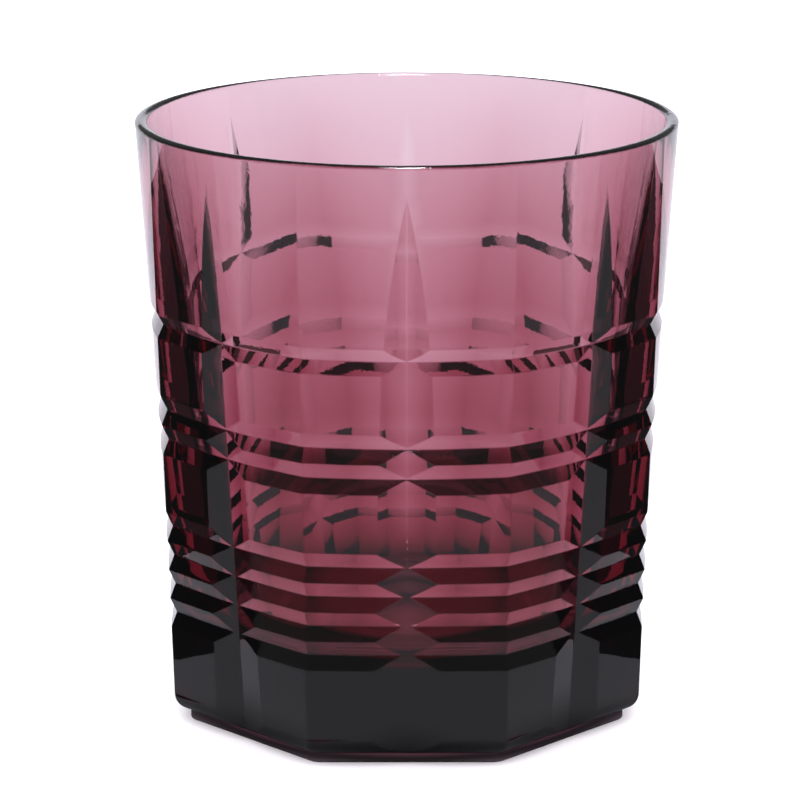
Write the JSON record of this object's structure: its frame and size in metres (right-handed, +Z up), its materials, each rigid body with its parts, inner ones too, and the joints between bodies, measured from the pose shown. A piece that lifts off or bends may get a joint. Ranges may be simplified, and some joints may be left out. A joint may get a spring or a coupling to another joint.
{
  "type": "whiskey tumbler",
  "caption": "Short drinking glass with a round rim, a faceted and grooved body, upright flutes that end in spear points, and a heavy base, in purple see-through glass.",
  "frame": {"origin": "middle of the foot, on the plane that the glass stands on", "axes": "+Z up along the axis of the glass, -Y out of the middle of the front panel"},
  "size_m": [0.0833, 0.0832, 0.0928],
  "materials": {
    "purple_glass": "clear purple pressed glass, fire-polished"
  },
  "bodies": {
    "root": {"tumbler": "purple_glass"}
  },
  "joints": []
}
